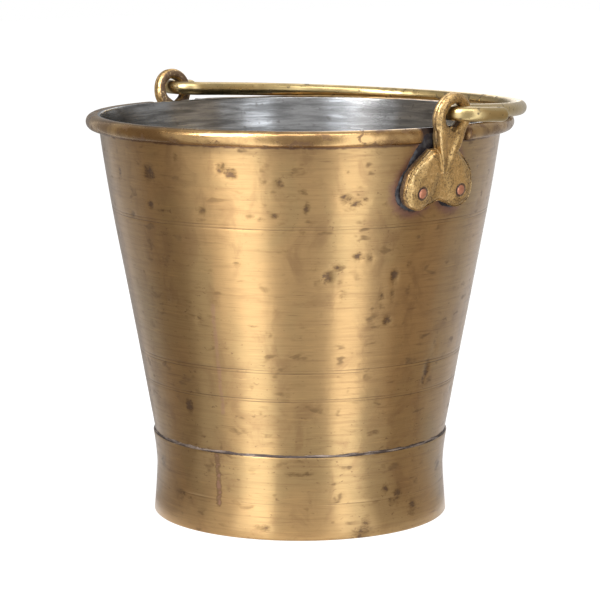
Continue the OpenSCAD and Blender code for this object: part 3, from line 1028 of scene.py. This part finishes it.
def buildEarSolder(side):
    bm = bmesh.new()
    bmesh.ops.create_grid(bm, x_segments=100, y_segments=72, size=0.5)
    bmesh.ops.scale(bm, vec=(bed["width"], bed["length"], 1), verts=bm.verts)
    bmesh.ops.translate(bm, vec=(0, bed["middle"], 0), verts=bm.verts)
    reachLayer, = addLayers(bm, "reach")
    for vert in bm.verts:
        u, v = vert.co.x, vert.co.y
        edge = armDistance(u, v)[0]
        ragged = bumps(u * 130, v * 130, side * 3)
        wide = 2.6 + 1.3 * ragged + 2.2 * blendStep(8 * mm, 26 * mm, v)
        spill = edge / (wide * mm)
        vert[reachLayer] = spill
        lump = 0.22 * bumps(u * 330, v * 330, side * 5)
        rise = 0.7 * math.sqrt(max(1 - max(spill, 0) ** 2, 0)) if spill > -1 else 0.3
        vert.co.z = wallOut(u, v) + (max(rise + lump * (1 if spill < 0.8 else 0), 0) - 0.15) * mm
    gone = [face for face in bm.faces
            if all(vert[reachLayer] > 1.05 or vert.co.y > bed["top"] for vert in face.verts)]
    bmesh.ops.delete(bm, geom=gone, context="FACES")
    under = bmesh.ops.extrude_face_region(bm, geom=list(bm.faces))["geom"]
    for vert in vertsIn(under):
        vert.co.z = wallOut(vert.co.x, vert.co.y) - bed["inWall"]
    return placed(bm, Matrix.Scale(side, 4, (1, 0, 0)) @ earPlace)


finishPiece("earSolderRight", buildEarSolder(1), [shadedEarSolder], "vessel", ["ear_solder_right"])
finishPiece("earSolderLeft", buildEarSolder(-1), [shadedEarSolder], "vessel", ["ear_solder_left"])


# copper rivets: a low dome outside, a broader head inside

rivet = {
    "head": 3.7 * mm,
    "shank": 2.5 * mm,
    "innerHead": 4.8 * mm,
    "steps": 40,
}


def buildRivet(side, y, seed):
    bm = bmesh.new()
    front = ear["front"]
    dome = [(0, 0.75), (0.35, 0.70), (0.62, 0.55), (0.84, 0.25), (0.96, -0.15), (1, -0.6), (0.98, -1.2)]
    profile = [(rivet["head"] * r, front + z * mm) for r, z in dome]
    profile += [(rivet["shank"], front - 1.3 * mm), (rivet["shank"], -1.6 * mm)]
    inner = [(1.0, -1.7), (1.0, -3.1), (0.95, -3.8), (0.8, -4.5), (0.5, -5.0), (0.2, -5.2), (0, -5.2)]
    profile += [(rivet["innerHead"] * r, z * mm) for r, z in inner]
    spinProfile(bm, profile, rivet["steps"])
    closeMesh(bm)
    grimeAndShadeLayer, = addLayers(bm, "grimeAndShade")
    for vert in bm.verts:
        radius = math.hypot(vert.co.x, vert.co.y)
        # the rim of the outer dome is marked dark: grime and painted shade where it sinks into its seat
        if vert.co.z > 0:
            vert[grimeAndShadeLayer] = blendStep(0.7, 1.0, radius / rivet["head"])
        vert.co *= 1 + 0.02 * noise.noise(vert.co * 500 + Vector((seed, 0, 0)))
        vert.co.x *= 0.94 + 0.02 * seed
    return placed(bm, Matrix.Scale(side, 4, (1, 0, 0)) @ earPlace @ Matrix.Translation((y, 0, 0)))


for sideName, side in (("Right", 1), ("Left", -1)):
    for endName, end in (("Front", -1), ("Back", 1)):
        node = "rivet_" + sideName.lower() + "_" + endName.lower()
        made = buildRivet(side, end * ear["rivetHalf"], side + 0.5 * end)
        finishPiece("rivet" + sideName + endName, made, [copperHead], "vessel", [node])


# the bail: one bent rod with a hook at each end

bail = {
    "rod": 4.9 * mm,
    "hook": 16 * mm,
    "leg": 133.36 * mm,
    "bowStart": 26 * mm,
    "tip": 29.1 * mm,
    "droop": math.radians(-2.86),
    "sides": 32,
    "bowSteps": 120,
    "hookSteps": 44,
}
# places round the bow in degrees from its middle, side of the rod in degrees, depth in mm
nicks = [(-31, 62, 0.35), (-28, 50, 0.3), (-24, 58, 0.35), (-20, 40, 0.2), (12, 55, 0.3), (17, 75, 0.25),
         (42, 50, 0.3), (-58, 60, 0.25), (66, 80, 0.3), (-75, 45, 0.25)]


def buildBail():
    bm = bmesh.new()
    hookX = bail["leg"] + bail["hook"]
    ring = bmesh.ops.create_circle(bm, radius=bail["rod"], segments=bail["sides"])["verts"]
    turnVerts(bm, ring, math.pi / 2, "Y")
    bmesh.ops.translate(bm, verts=ring, vec=(0, bail["bowStart"] + bail["leg"], 0))
    geom = list(bm.verts) + list(bm.edges)
    geom = spin(bm, geom, (0, bail["bowStart"], 0), -math.pi / 2, bail["bowSteps"])

    def pull(geom, distance, steps):
        for _ in range(steps):
            geom = bmesh.ops.extrude_edge_only(bm, edges=edgesIn(geom))["geom"]
            moved = vertsIn(geom)
            bmesh.ops.translate(bm, verts=moved, vec=(0, distance / steps, 0))
            geom = moved + [edge for edge in edgesIn(geom) if all(vert in moved for vert in edge.verts)]
        return geom

    geom = pull(geom, bail["hook"] - bail["bowStart"], 4)
    geom = spin(bm, geom, (hookX, bail["hook"], 0), math.pi, bail["hookSteps"])
    geom = pull(geom, bail["tip"] - bail["hook"], 6)
    # the cut end was filed round
    size = 1.0
    for step, width in ((1.6, 0.975), (1.1, 0.91), (0.8, 0.8), (0.45, 0.66), (0.25, 0.45), (0.08, 0.2)):
        geom = pull(geom, step * mm, 1)
        moved = vertsIn(geom)
        middle = sum((vert.co for vert in moved), Vector()) / len(moved)
        bmesh.ops.scale(bm, vec=Vector((1, 1, 1)) * (width / size), verts=moved,
                        space=Matrix.Translation(-middle))
        size = width
    bmesh.ops.contextual_create(bm, geom=edgesIn(geom))
    half = list(bm.verts) + list(bm.edges) + list(bm.faces)
    bmesh.ops.mirror(bm, geom=half, axis="X", merge_dist=1e-5)
    closeMesh(bm)
    grimeAndShadeLayer, = addLayers(bm, "grimeAndShade")
    for vert in bm.verts:
        x, y, z = vert.co
        fromBow = Vector((x, y - bail["bowStart"], 0))
        onBow = y > bail["bowStart"] + 2 * mm and abs(abs(x) - hookX - bail["hook"]) > 8 * mm
        # grime and painted shade where the rod runs through the hook and the ear's eye
        inHook = 1 - blendStep(10 * mm, 22 * mm, math.hypot(abs(x) - hookX, y))
        vert[grimeAndShadeLayer] = 0.2 * inHook
        if not onBow:
            continue
        centre = fromBow.normalized() * bail["leg"] + Vector((0, bail["bowStart"], 0))
        turn = math.degrees(math.atan2(x, y - bail["bowStart"]))
        rollSide = math.degrees(math.atan2(z, fromBow.length - bail["leg"]))
        sunk = 0
        for place, roll, depth in nicks:
            along = math.radians(turn - place) * bail["leg"] / (1.3 * mm)
            aside = math.radians((rollSide + roll) % 360 - 180) * bail["rod"] / (2.0 * mm)
            sunk += 1.5 * depth * mm * math.exp(-along * along - aside * aside)
        sunk += 0.06 * mm * max(noise.noise(vert.co * 160), 0)
        vert.co += (centre - vert.co).normalized() * sunk
    turnVerts(bm, bm.verts, bail["droop"], "X")
    bmesh.ops.translate(bm, verts=bm.verts, vec=hinge)
    return bm


finishPiece("bailRod", buildBail(), [bailBrass], "handle", ["bail"])


# floor, lamps and camera

studio = {
    "cameraTurn": math.radians(49.1),
    "cameraTilt": math.radians(80.86),
    "cameraDistance": 1.7578,
    "cameraHeight": 0.4317,
    "lens": 150.46,
    "cardDistance": 0.62,
    "cardHeight": 1.3,
    "cardGap": 8 * mm,  # between the foot ring and a card's foot
    "surround": 1.0,
    "fill": 0.75,
    "floorHalf": 6,
    "floorGrey": 0.86,
    "floorGlow": 1.3,
    "floorGlowShare": 0.6,
    "aimHeight": 0.16,
}


def seenRays(tree):
    path = addNode(tree, "LightPath")
    seen = mathNode("ADD", path.outputs["Is Camera Ray"], path.outputs["Is Glossy Ray"])
    return mathNode("ADD", seen, path.outputs["Is Transmission Ray"], True)


def makeWorld():
    world = bpy.data.worlds.new("studio")
    bpy.context.scene.world = world
    world.use_nodes = True
    tree = world.node_tree
    background = tree.nodes["Background"]
    background.inputs["Color"].default_value = (1, 1, 1, 1)
    inputs = {"Factor": seenRays(tree), "A": studio["fill"], "B": studio["surround"]}
    strength = addNode(tree, "Mix", inputs)
    link(strength.outputs["Result"], background.inputs["Strength"])


def makeFloor():
    bm = bmesh.new()
    bmesh.ops.create_grid(bm, x_segments=1, y_segments=1, size=studio["floorHalf"])
    material, tree, shader = newMaterial("paleFloor")
    tree.nodes.remove(shader)
    matt = addNode(tree, "BsdfDiffuse", {"Color": (studio["floorGrey"],) * 3})
    plain = addNode(tree, "Emission", {"Strength": studio["floorGlow"]})
    share = times(seenRays(tree), studio["floorGlowShare"])
    mix = addNode(tree, "MixShader", {0: share, 1: matt.outputs["BSDF"], 2: plain.outputs["Emission"]})
    link(mix.outputs["Shader"], tree.nodes["Material Output"].inputs["Surface"])
    floor = meshObject("floor", bm, material)


def makeCard(order, name, turn, halfWidth, glow, tint, lean, base=0):
    # a reflector that only the metal sees: an upright arc round the object, and its foot on the floor
    bm = bmesh.new()
    inner = footBox[1][0] + studio["cardGap"]
    distance = studio["cardDistance"] - order * mm
    lift = (1 + 0.2 * order) * mm
    points = [(inner, lift), (distance, lift), (distance, studio["cardHeight"])]
    if base:
        points = [(distance, base), (distance, studio["cardHeight"])]
    start = studio["cameraTurn"] - math.pi / 2 + math.radians(turn - halfWidth)
    spinProfile(bm, points, 12, start, math.radians(2 * halfWidth))
    near = [vert for vert in bm.verts if math.hypot(vert.co.x, vert.co.y) < inner + mm]
    turnVerts(bm, near, math.radians(lean), "Z")
    material, tree, shader = newMaterial(name)
    tree.nodes.remove(shader)
    light = addNode(tree, "Emission", {"Color": tint, "Strength": glow})
    link(light.outputs["Emission"], tree.nodes["Material Output"].inputs["Surface"])
    card = meshObject(name, bm, material)
    for ray in ("camera", "diffuse", "shadow", "transmission"):
        setattr(card, "visible_" + ray, False)


def makeLamp(name, turn, rise, distance, width, height, power, seen):
    lamp = bpy.data.lights.new(name, "AREA")
    lamp.shape = "RECTANGLE"
    lamp.size = width
    lamp.size_y = height
    lamp.energy = power
    holder = bpy.data.objects.new(name, lamp)
    bpy.context.collection.objects.link(holder)
    aim = Vector((0, 0, studio["aimHeight"]))
    way = studio["cameraTurn"] + math.radians(turn)
    rise = math.radians(rise)
    away = Vector((math.sin(way) * math.cos(rise), -math.cos(way) * math.cos(rise), math.sin(rise)))
    holder.location = aim + away * distance
    holder.rotation_euler = away.to_track_quat("Z", "Y").to_euler()
    holder.visible_glossy = seen


makeWorld()
makeFloor()
coolWhite = (0.95, 1.0, 1.06)
plainWhite = (1, 1, 1)
warmGrey = (1.0, 0.86, 0.70)
# name, degrees right of the camera, half width, glow, tint, lean of the foot and, for one, its start above
# the floor; later ones lie over earlier ones
cards = [
    ("backFlag", -155, 20, 0.35, plainWhite, 0),
    ("backStrip", 168, 9, 2.2, plainWhite, 0),
    ("edgeLeft", -117, 14, 0.52, plainWhite, 0),
    ("flagLeft", -85, 17.8, 0.40, warmGrey, 0),
    ("shadeLeft", -57.5, 9.5, 0.82, plainWhite, 0),
    ("sideRight", 142, 16, 0.68, plainWhite, 0),
    ("edgeRight", 109, 16, 0.58, plainWhite, 0),
    ("flagRight", 74, 19, 0.54, warmGrey, 0),
    ("shadeRight", 46, 8.2, 0.88, plainWhite, 0),
    ("front", 0, 19.5, 0.82, plainWhite, 0),
    ("stripLeft", -29.5, 9.6, 2.9, coolWhite, 9),
    ("stripRight", 29, 8.8, 2.8, coolWhite, -3),
    ("tinStrip", -44, 9, 30, plainWhite, 0, 0.55),
]
for order, card in enumerate(cards):
    makeCard(order, *card)
# name, degrees right of the camera and up, distance, width, height, power, whether the metal shows it
lamps = [
    ("topBox", 0, 62, 1.9, 1.5, 1.0, 26, True),
    ("leftBox", -40, 35, 2.0, 0.8, 1.4, 12, False),
    ("rightBox", 45, 30, 2.0, 0.8, 1.4, 10, False),
]
for lamp in lamps:
    makeLamp(*lamp)

cameraData = bpy.data.cameras.new("camera")
cameraData.lens = studio["lens"]
cameraData.sensor_width = 36
camera = bpy.data.objects.new("camera", cameraData)
bpy.context.collection.objects.link(camera)
camera.location = (math.sin(studio["cameraTurn"]) * studio["cameraDistance"],
                   -math.cos(studio["cameraTurn"]) * studio["cameraDistance"], studio["cameraHeight"])
camera.rotation_euler = (studio["cameraTilt"], 0, studio["cameraTurn"])
bpy.context.scene.camera = camera
bpy.context.scene.view_settings.view_transform = "Standard"
print("studio ready")
